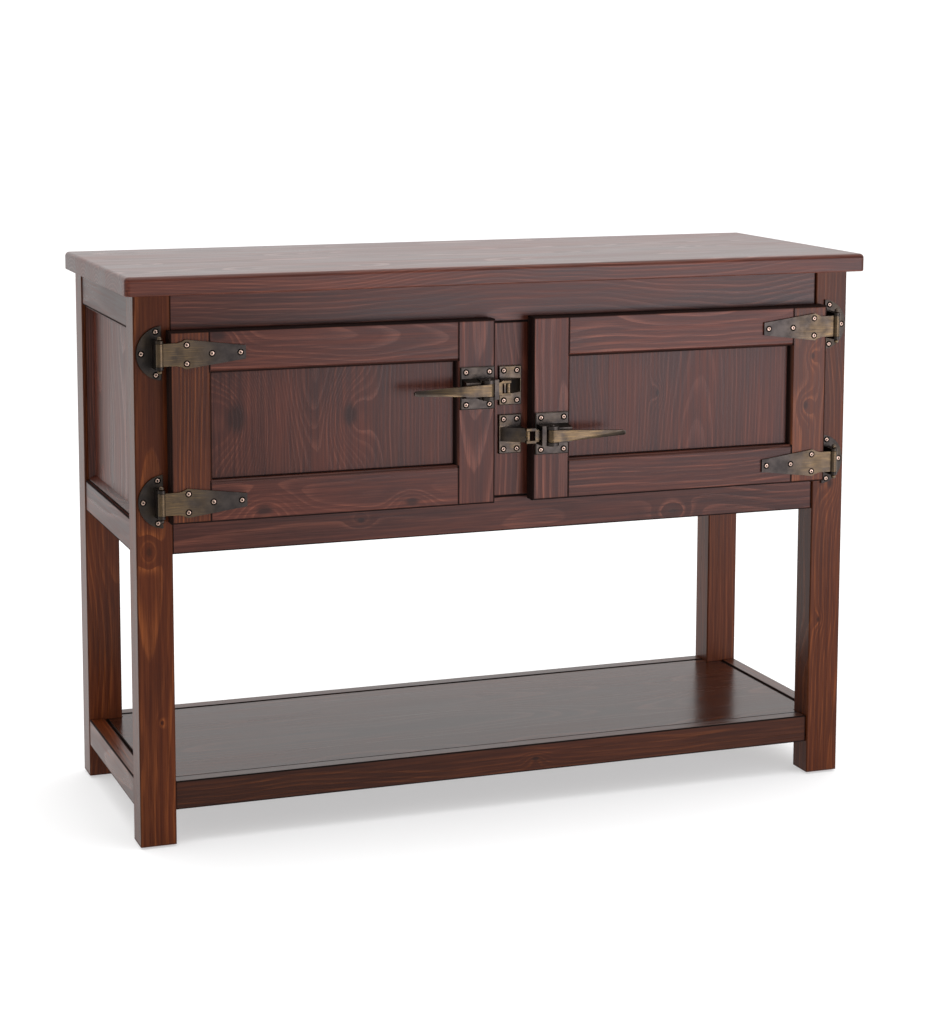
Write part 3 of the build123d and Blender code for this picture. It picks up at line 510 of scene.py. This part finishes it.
def door_boards():
    """The stiles, rails and panels of the doors, with painted shade along the seams between them and on the
    side faces of the stiles and rails.
    """
    # The light values here are partly the board's own tone and partly painted light and shade
    boards = {
        "left_door_top_rail": board("plum", "x_front", ring=0.0066, depth=0.04, wander=0.045,
                                    knots=((-0.16, 0.02, 0.008),)),
        "left_door_bottom_rail": board("plum", "x_front", ring=0.0064, depth=0.028, wander=0.04, light=1.12,
                                       knots=((-0.10, -0.016, 0.009), (0.105, -0.018, 0.007))),
        "left_door_hinge_stile": board("russet", "z_front", ring=0.0038, across=0.05, depth=0.05,
                                       wander=0.015, light=0.95, figure=0.6),
        "left_door_latch_stile": board("plum", "z_front", ring=0.0048, across=0.025, depth=0.06,
                                       wander=0.02, light=1.15),
        "left_door_panel": board("plum", "z_front", plank=0.5, shift=0.02, ring=0.0048, depth=0.03,
                                 wander=0.05, figure=0.2,
                                 knots=((0.008, -0.134, 0.016), (0.005, 0.022, 0.012))),
        "right_door_top_rail": board("plum", "x_front", ring=0.0066, depth=0.045, wander=0.045,
                                     light=1.24),
        "right_door_bottom_rail": board("plum", "x_front", ring=0.0072, depth=0.03, wander=0.04),
        "right_door_hinge_stile": board("russet", "z_front", ring=0.0062, across=0.01, depth=0.03,
                                        wander=0.035,
                                        knots=((-0.015, -0.004, 0.005), (0.055, 0.006, 0.004))),
        "right_door_latch_stile": board("plum", "z_front", ring=0.0055, across=0.03, depth=0.06,
                                        wander=0.02, light=1.1),
        "right_door_panel": board("plum", "z_front", plank=0.30, shift=-0.042, ring=0.0044, depth=0.07,
                                  wander=0.035, figure=0.17, knots=((0.012, -0.033, 0.0035),)),
    }
    for node, cut in boards.items():
        if node.endswith("panel"):
            cut["inset"] = PANEL_TONGUE
        else:
            cut["reach"] = DOOR_SHADE_REACH
            cut["flank"] = BOTTOM_RAIL_FLANK if node.endswith("bottom_rail") else STILE_FLANK
    return boards


for count, (node, cut) in enumerate(sorted({**case_boards(), **door_boards()}.items())):
    dress(node, pine(node, FIRST_SEED + SEED_STEP * count, **cut))


# ---- Antique brass and small metal ----

PATINA_DARK = (0.030, 0.0245, 0.0225)
PATINA_BROWN = (0.056, 0.045, 0.039)
WARM_BRASS = (0.24, 0.152, 0.068)
# Arris colours: rubbed brass that also carries a painted highlight, and painted shade for a dark outline
RUBBED_LIT_ARRIS = (0.66, 0.47, 0.24, 1.0)
SHADED_ARRIS = (0.008, 0.006, 0.005, 1.0)
CASTING_GRIT = 0.0001


def antique_brass(name, seed, golden=0.4, rubbed=0.5, deep=1.0, edge=0.5, fade=None):
    """Darkened brass with a brown-grey patina.

    golden, rubbed: how much warm metal shows, and how widely; deep: below 1 is darker; edge: how strongly
    the arrises are coloured, rubbed brass that also carries a painted highlight, or painted shade that
    draws a dark outline where negative; fade: the x where the warm metal shows fully, and the x where
    it ends.
    """
    material, tree, shader = new_material(name)
    where = object_place(tree)
    look = effect(tree, PATINA, {"Vector": where, "Seed": seed, "Cloud Scale": 90.0, "Rubbed": rubbed})
    # The arris mask: it carries rubbed wear with a painted highlight, or painted shade on the straps
    worn = add(tree, "ShaderNodeAttribute", attribute_name="arris", attribute_type="GEOMETRY").outputs["Fac"]
    dark, brown, warm = (tint(shade, deep) for shade in (PATINA_DARK, PATINA_BROWN, WARM_BRASS))
    colour = blend_colour(tree, look["Cloud"], dark, brown)
    brushed = calc(tree, "MULTIPLY_ADD", look["Scratch"], 0.6, 0.4)
    warmth = calc(tree, "MULTIPLY", brushed, calc(tree, "MULTIPLY", look["Rub"], golden))
    if fade:
        full, ended = fade
        ends = (1.0, 0.0) if full < ended else (0.0, 1.0)
        shown = ease(tree, split(tree, where)[0], min(fade), max(fade), *ends)
        warmth = calc(tree, "MULTIPLY", warmth, shown)
    colour = blend_colour(tree, warmth, colour, warm)
    # The arrises: rubbed brass with a painted highlight, or painted shade where edge is negative
    half_edge = abs(edge) * 0.5
    rim = calc(tree, "MULTIPLY", worn, calc(tree, "MULTIPLY_ADD", look["Cloud"], half_edge, half_edge))
    rim_colour = RUBBED_LIT_ARRIS if edge > 0 else SHADED_ARRIS
    put(tree, shader, "Base Color", blend_colour(tree, rim, colour, rim_colour))
    shader.inputs["Metallic"].default_value = 0.88
    roughness = calc(tree, "MULTIPLY_ADD", look["Cloud"], -0.1, 0.40)
    put(tree, shader, "Roughness", calc(tree, "SUBTRACT", roughness, calc(tree, "MULTIPLY", worn, 0.1)))
    bump = add(tree, "ShaderNodeBump", {"Strength": 0.3, "Distance": CASTING_GRIT, "Height": look["Grit"]})
    put(tree, shader, "Normal", bump.outputs[0])
    return material


def plain_metal(name, colour, dark, roughness, scale):
    """A small turned part: spring steel, or a part of a screw's head."""
    material, tree, shader = new_material(name)
    cloud = effect(tree, PATINA, {"Vector": object_place(tree), "Cloud Scale": scale, "Rubbed": 0.5})["Cloud"]
    put(tree, shader, "Base Color", blend_colour(tree, cloud, (*colour, 1.0), (*dark, 1.0)))
    shader.inputs["Metallic"].default_value = 0.9
    put(tree, shader, "Roughness", calc(tree, "MULTIPLY_ADD", cloud, 0.12, roughness))
    return material


def nylon():
    """Matt dark nylon with a fine speckle."""
    material, tree, shader = new_material("glide_nylon_matt")
    speck = noise(tree, object_place(tree), 900.0, 3.0).outputs["Fac"]
    speckled = blend_colour(tree, speck, (0.035, 0.03, 0.028, 1.0), (0.07, 0.06, 0.055, 1.0))
    put(tree, shader, "Base Color", speckled)
    put(tree, shader, "Roughness", calc(tree, "MULTIPLY_ADD", speck, 0.2, 0.5))
    return material


# Near black: on the rim ring round each screw head it is painted shade, a dark halo; the cross recess is dark
# as well
NEAR_BLACK = ((0.003, 0.0026, 0.0022), (0.0015, 0.0013, 0.0011), 0.8, 400.0)
SCREW_BRASS = plain_metal("screw_brass_face", (0.50, 0.35, 0.28), (0.32, 0.22, 0.17), 0.28, 300.0)
SCREW_RIM = plain_metal("screw_rim_painted_shade", *NEAR_BLACK)
SCREW_RECESS = plain_metal("screw_recess_dark", *NEAR_BLACK)
SPRING_STEEL = plain_metal("spring_steel_wire", (0.45, 0.45, 0.46), (0.2, 0.2, 0.21), 0.3, 400.0)


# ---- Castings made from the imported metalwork, with their arrises rounded ----

MERGE_GAP = 2e-6
FLAT_WITHIN = math.radians(0.6)
SHARP_FROM = math.radians(32)
SHADE_SHARP_FROM = math.radians(40)
CORNER_FACE = 0.0015
GRIP_ROUND, GRIP_RUN = 0.0024, 0.03


def link(obj):
    """Put an object in the scene."""
    scene.collection.objects.link(obj)
    return obj


def settle(obj):
    """Turn an object with live modifiers into a plain mesh."""
    graph = bpy.context.evaluated_depsgraph_get()
    mesh = bpy.data.meshes.new_from_object(obj.evaluated_get(graph))
    obj.modifiers.clear()
    obj.data = mesh
    return obj


def declare(obj, node, body):
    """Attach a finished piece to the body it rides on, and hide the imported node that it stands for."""
    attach(obj, body)
    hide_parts(node)


def merged_copy(node):
    """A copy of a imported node's surface with its loose triangles joined."""
    body = bmesh.new()
    body.from_mesh(nodes[node].data)
    bmesh.ops.remove_doubles(body, verts=body.verts, dist=MERGE_GAP)
    return body


def grip_edge(edge):
    """The long edges of a lever's grip get a larger round."""
    run = edge.verts[1].co - edge.verts[0].co
    return GRIP_ROUND if abs(run.x) > GRIP_RUN else None


def casting(name, node, material, width=0.0004, wide=None):
    """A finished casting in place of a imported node. wide(edge) may give some edges a larger round."""
    body = merged_copy(node)
    bmesh.ops.dissolve_limit(body, angle_limit=FLAT_WITHIN, verts=body.verts, edges=body.edges, delimit=set())
    sharp = [e for e in body.edges if len(e.link_faces) == 2 and e.calc_face_angle(0.0) > SHARP_FROM]
    by_round = {}
    for edge in sharp:
        by_round.setdefault(wide(edge) if wide else None, []).append(edge)
    made = set()
    for own, edges in by_round.items():
        edges = [e for e in edges if e.is_valid]
        result = bmesh.ops.bevel(body, geom=edges, offset=own or width, offset_type="OFFSET", segments=2,
                                 profile=0.5, affect="EDGES", clamp_overlap=True)
        made.update(result["faces"])
    arris = body.faces.layers.float.new("arris")
    for face in body.faces:
        face[arris] = float(face in made and max(e.calc_length() for e in face.edges) > CORNER_FACE)
        face.smooth = True
    bmesh.ops.triangulate(body, faces=[f for f in body.faces if len(f.verts) > 4])
    mesh = bpy.data.meshes.new(name)
    body.to_mesh(mesh)
    body.free()
    mesh.set_sharp_from_angle(angle=SHADE_SHARP_FROM)
    mesh.materials.append(material)
    obj = link(bpy.data.objects.new(name, mesh))
    normals = obj.modifiers.new("even_shading", "WEIGHTED_NORMAL")
    normals.keep_sharp = True
    declare(settle(obj), node, nodes[node]["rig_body"])


BRASS_STEP = 1.31
LATCH_ROUND, ROLLER_ROUND, PIN_ROUND = 0.0007, 0.0005, 0.0003
LEVER_FADE, STRAP_FADE = (0.075, 0.175), (0.475, 0.4)


def hinge_plate(level, side, seed):
    """A half-round plate on a leg."""
    brass = antique_brass(f"brass_hinge_plate_{level}_{side}", seed, golden=0.35, deep=0.42, edge=0.4)
    casting(f"hinge_plate_casting_{level}_{side}", f"hinge_plate_{level}_{side}", brass)


def latch(level, way, seed):
    """One latch: housing, lever, keeper and roller as castings, and its pin, axle and spring."""
    housing = antique_brass(f"brass_{level}_housing", seed, golden=0.15, rubbed=0.5, deep=0.68, edge=1.0)
    casting(f"{level}_latch_housing", f"{level}_latch_base", housing, LATCH_ROUND)
    lever = antique_brass(f"brass_{level}_lever", seed + 5.0, golden=0.9, rubbed=1.0, deep=0.62, edge=0.3,
                          fade=tuple(way * x for x in LEVER_FADE))
    casting(f"{level}_lever_casting", f"{level}_latch_lever", lever, wide=grip_edge)
    keeper = antique_brass(f"brass_keeper_{level}", seed + 9.0, golden=0.45, rubbed=0.7, deep=0.82, edge=1.0)
    casting(f"keeper_casting_{level}", f"keeper_{level}", keeper, LATCH_ROUND)
    roller = antique_brass(f"brass_{level}_roller", seed + 12.0, golden=0.9, rubbed=0.9)
    casting(f"{level}_roller_turned", f"{level}_latch_roller", roller, ROLLER_ROUND)
    dress(f"{level}_latch_pin", antique_brass(f"brass_{level}_pin", seed + 3.0, golden=0.6))
    dress(f"{level}_latch_axle", antique_brass(f"brass_{level}_axle", seed + 4.0, golden=0.6))
    dress(f"{level}_latch_spring", SPRING_STEEL)


def straps(side, way, seed):
    """The two straps on a door."""
    # Their arrises take painted shade (edge below 0): a dark outline round each strap
    brass = antique_brass(f"brass_straps_{side}", seed, golden=0.8, rubbed=1.0, deep=0.6, edge=-0.85,
                          fade=tuple(way * x for x in STRAP_FADE))
    casting(f"{side}_door_strap_castings", f"{side}_door_straps", brass)


brass_seed = 0.0
for level, way in (("upper", -1), ("lower", 1)):
    for side in ("left", "right"):
        brass_seed += BRASS_STEP
        hinge_plate(level, side, brass_seed)
    brass_seed += BRASS_STEP
    latch(level, way, brass_seed)
for side, way in (("left", -1), ("right", 1)):
    brass_seed += BRASS_STEP
    straps(side, way, brass_seed)
pin_brass = antique_brass("brass_hinge_pins", 2.2, golden=0.8, rubbed=0.8)
casting("hinge_pins_turned", "hinge_pins", pin_brass, PIN_ROUND)
dress("foot_glides", nylon())


# ---- Screws: one modelled head, repeated by geometry nodes ----

HEAD_RADIUS, HEAD_CROWN = 0.004, 0.0008
SHORT_SHANK, LONG_SHANK = 0.0125, 0.0265
AROUND = 24
CROSS_ARMS = (1.0, 0.35, -0.62, -0.62, -0.62, 0.35)
RIM, FACE, RECESS = 0, 1, 2


def islands(body):
    """The separate solids of a mesh, each as the places of its points."""
    seen = set()
    for start in body.verts:
        if start.index in seen:
            continue
        island, wave = [], [start]
        seen.add(start.index)
        while wave:
            vert = wave.pop()
            island.append(vert.co.copy())
            for edge in vert.link_edges:
                other = edge.other_vert(vert)
                if other.index not in seen:
                    seen.add(other.index)
                    wave.append(other)
        yield island


def screw_places(node):
    """Where each packed screw sits: the top of its crown and the way it faces, down or to the front."""
    body = merged_copy(node)
    body.verts.ensure_lookup_table()
    places = []
    for island in islands(body):
        low = Vector([min(p[i] for p in island) for i in range(3)])
        high = Vector([max(p[i] for p in island) for i in range(3)])
        middle = (low + high) / 2
        if high.z - low.z > high.y - low.y:
            places.append((Vector((middle.x, middle.y, low.z)), Vector((0, 0, -1))))
        else:
            places.append((Vector((middle.x, low.y, middle.z)), Vector((0, -1, 0))))
    body.free()
    return places


def screw_head(name, length):
    """A raised countersunk screw with a cross recess, its crown's top at the origin, facing +Z."""
    radius, crown = HEAD_RADIUS, HEAD_CROWN
    # Share of the head's radius, height, how far the cross shows, and the part up to the next level
    levels = [
        (0.42, -length, 0.0, RIM),
        (0.42, -crown - radius * 0.58, 0.0, RIM),
        # From the head's edge out to 1.12 and back in to 0.69 is the rim, which carries the painted shade
        # halo
        (1.0, -crown - 0.0001, 0.0, RIM),
        (1.12, -crown * 0.97, 0.0, RIM),
        (0.76, -crown * 0.9, 0.0, RIM),
        (0.69, -crown * 0.4, 0.0, FACE),
        (0.58, -crown * 0.1, 0.0, FACE),
        (0.48, 0.0, 0.0, FACE),
        (0.36, 0.0, 0.2, RECESS),
        (0.31, -crown * 0.35, 0.25, RECESS),
        (0.17, -crown * 1.9, 0.2, RECESS),
    ]
    body = bmesh.new()
    part = body.faces.layers.int.new("part")
    rings = []
    for share, z, cross, _ in levels:
        verts = []
        for i in range(AROUND):
            turn = 2 * math.pi * i / AROUND
            reach = radius * share * (1 + cross * CROSS_ARMS[i % len(CROSS_ARMS)])
            verts.append(body.verts.new((reach * math.cos(turn), reach * math.sin(turn), z)))
        rings.append(verts)
    point = body.verts.new((0, 0, -length - radius * 0.4))
    bottom = body.verts.new((0, 0, -crown * 2.1))
    for i in range(AROUND):
        j = (i + 1) % AROUND
        body.faces.new((rings[0][j], rings[0][i], point))
        body.faces.new((rings[-1][i], rings[-1][j], bottom))[part] = RECESS
        for (lower, upper), level in zip(zip(rings, rings[1:]), levels):
            body.faces.new((lower[i], lower[j], upper[j], upper[i]))[part] = level[3]
    for face in body.faces:
        face.smooth = True
    bmesh.ops.recalc_face_normals(body, faces=body.faces)
    mesh = bpy.data.meshes.new(name)
    body.to_mesh(mesh)
    body.free()
    mesh.set_sharp_from_angle(angle=math.radians(50))
    return mesh


def screw_tree():
    """Puts a screw at every point, turned to its facing, each driven to its own angle."""
    tree, given, give = new_group(
        "screws_in_place",
        [("Geometry", GEOMETRY, None), ("Screw", OBJECT, None), ("Size", FLOAT, 1.0), ("Seed", INTEGER, 5)],
        [("Geometry", GEOMETRY)], "GeometryNodeTree")
    facing = add(tree, "GeometryNodeInputNamedAttribute", {"Name": "facing"},
                 data_type="FLOAT_VECTOR").outputs[0]
    turned = add(tree, "FunctionNodeAlignRotationToVector", {"Vector": facing}, axis="Z").outputs[0]
    spin = add(tree, "FunctionNodeRandomValue", {"Seed": given["Seed"], 2: 0.0, 3: math.pi / 2},
               data_type="FLOAT").outputs[1]
    about = add(tree, "FunctionNodeEulerToRotation", {0: join(tree, 0.0, 0.0, spin)}).outputs[0]
    both = add(tree, "FunctionNodeRotateRotation", {0: turned, 1: about}, rotation_space="LOCAL").outputs[0]
    shape = add(tree, "GeometryNodeObjectInfo", {"Object": given["Screw"]}).outputs["Geometry"]
    scale = join(tree, given["Size"], given["Size"], given["Size"])
    inputs = {"Points": given["Geometry"], "Instance": shape, "Rotation": both, "Scale": scale}
    placed = add(tree, "GeometryNodeInstanceOnPoints", inputs).outputs[0]
    shown = add(tree, "GeometryNodeRealizeInstances", {0: placed}).outputs[0]
    part = add(tree, "GeometryNodeInputNamedAttribute", {"Name": "part"}, data_type="INT").outputs[0]
    for number, material in ((RIM, SCREW_RIM), (FACE, SCREW_BRASS), (RECESS, SCREW_RECESS)):
        same = add(tree, "FunctionNodeCompare", {2: part, 3: number}, data_type="INT",
                   operation="EQUAL").outputs[0]
        inputs = {"Geometry": shown, "Selection": same, "Material": material}
        shown = add(tree, "GeometryNodeSetMaterial", inputs).outputs[0]
    give(Geometry=shown)
    return tree


SCREW_TREE = screw_tree()


def set_input(modifier, label, value):
    """Set a geometry tree's named input by its socket's identifier."""
    for item in modifier.node_group.interface.items_tree:
        if item.item_type == "SOCKET" and item.in_out == "INPUT" and item.name == label:
            modifier[item.identifier] = value


def drive_screws(name, node, places, length):
    """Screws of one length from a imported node, as one mesh."""
    one = link(bpy.data.objects.new(name + "_one", screw_head(name + "_one", length)))
    mesh = bpy.data.meshes.new(name)
    mesh.from_pydata([tuple(crown) for crown, _ in places], [], [])
    facing = mesh.attributes.new("facing", "FLOAT_VECTOR", "POINT")
    facing.data.foreach_set("vector", [part for _, way in places for part in way])
    obj = link(bpy.data.objects.new(name, mesh))
    modifier = obj.modifiers.new("screws", "NODES")
    modifier.node_group = SCREW_TREE
    set_input(modifier, "Screw", one)
    settle(obj)
    bpy.data.objects.remove(one)
    declare(obj, node, nodes[node]["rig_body"])


for side in ("left", "right"):
    door_screws = f"{side}_door_screws"
    drive_screws(f"{side}_door_wood_screws", door_screws, screw_places(door_screws), SHORT_SHANK)
case_places = screw_places("case_screws")
drive_screws("case_wood_screws", "case_screws", [p for p in case_places if p[1].z == 0], SHORT_SHANK)
drive_screws("top_board_screws", "case_screws", [p for p in case_places if p[1].z != 0], LONG_SHANK)


# ---- Floor, light and camera ----

FLOOR_REACH = 30.0
SEEN_AIR = 1.1
CAMERA_PLACE = Vector((-1.18186, -3.21341, 1.06783))
CAMERA_YAW, CAMERA_PITCH, CAMERA_ROLL = math.radians(20.144), math.radians(-7.500), math.radians(0.118)
CAMERA_LENS, CAMERA_SENSOR = 85.385355, 36.0
CAMERA_SHIFT = -0.1533203125


def studio_floor():
    """A plain white floor that the soft light barely shades."""
    material, _, shader = new_material("studio_floor_white")
    shader.inputs["Base Color"].default_value = (0.5, 0.5, 0.5, 1.0)
    shader.inputs["Emission Color"].default_value = (1.0, 1.0, 1.0, 1.0)
    shader.inputs["Emission Strength"].default_value = 0.46
    shader.inputs["Roughness"].default_value = 0.9
    shader.inputs["IOR"].default_value = 1.2
    mesh = bpy.data.meshes.new("studio_floor")
    corners = [(x * FLOOR_REACH, y * FLOOR_REACH, 0) for x, y in ((-1, -1), (1, -1), (1, 1), (-1, 1))]
    mesh.from_pydata(corners, [], [(0, 1, 2, 3)])
    mesh.materials.append(material)
    link(bpy.data.objects.new("studio_floor", mesh))


def studio_air():
    """White surroundings: brightest behind and above, dimmer in front and at the left."""
    world = bpy.data.worlds.new("studio_air")
    scene.world = world
    world.use_nodes = True
    tree = world.node_tree
    tree.nodes.clear()
    seen = tree.nodes.new("ShaderNodeLightPath").outputs["Is Camera Ray"]
    x, y, z = split(tree, tree.nodes.new("ShaderNodeTexCoord").outputs["Generated"])
    back = ease(tree, y, -0.9, 0.7, 0.25, 1.28)
    left = ease(tree, x, -0.9, 0.0, -0.5, 0.0)
    above = ease(tree, z, 0.15, 0.85, 0.0, 0.9)
    air = calc(tree, "ADD", calc(tree, "ADD", back, left), above)
    strength = calc(tree, "MAXIMUM", air, calc(tree, "MULTIPLY", seen, SEEN_AIR))
    shade = add(tree, "ShaderNodeBackground", {"Color": (1.0, 1.0, 1.0, 1.0), "Strength": strength})
    out = tree.nodes.new("ShaderNodeOutputWorld")
    tree.links.new(shade.outputs[0], out.inputs[0])


def softbox(name, place, target, width, height, brightness, colour=(1.0, 1.0, 1.0)):
    """A rectangular soft light aimed at a point; brightness is what its face shows."""
    data = bpy.data.lights.new(name, "AREA")
    data.shape = "RECTANGLE"
    data.size, data.size_y = width, height
    data.energy = brightness * math.pi * width * height
    data.color = colour
    obj = link(bpy.data.objects.new(name, data))
    obj.location = place
    obj.rotation_euler = (Vector(target) - Vector(place)).to_track_quat("-Z", "Y").to_euler()
    obj.visible_camera = False


def camera():
    """A long lens from the left and a little above the top board, levelled but for a slight roll."""
    ahead = Vector((math.sin(CAMERA_YAW) * math.cos(CAMERA_PITCH),
                    math.cos(CAMERA_YAW) * math.cos(CAMERA_PITCH), math.sin(CAMERA_PITCH)))
    level = Vector((math.cos(CAMERA_YAW), -math.sin(CAMERA_YAW), 0.0))
    upright = level.cross(ahead)
    right = level * math.cos(CAMERA_ROLL) + upright * math.sin(CAMERA_ROLL)
    up = upright * math.cos(CAMERA_ROLL) - level * math.sin(CAMERA_ROLL)
    data = bpy.data.cameras.new("front_left_camera")
    data.sensor_fit = "AUTO"
    data.sensor_width = CAMERA_SENSOR
    data.lens = CAMERA_LENS
    data.shift_y = CAMERA_SHIFT
    data.clip_end = 100.0
    obj = link(bpy.data.objects.new("front_left_camera", data))
    obj.matrix_world = Matrix.Translation(CAMERA_PLACE) @ Matrix((right, up, -ahead)).transposed().to_4x4()
    scene.camera = obj


studio_floor()
studio_air()
softbox("key_front_right", (1.55, -2.25, 0.46), (1.25, 0.0, 0.44), 2.4, 0.88, 6.0, (0.98, 0.98, 1.06))
softbox("overhead", (0.0, -0.6, 3.2), (0.0, 0.0, 0.4), 3.0, 2.0, 1.6)
camera()
scene.view_settings.view_transform = "Standard"
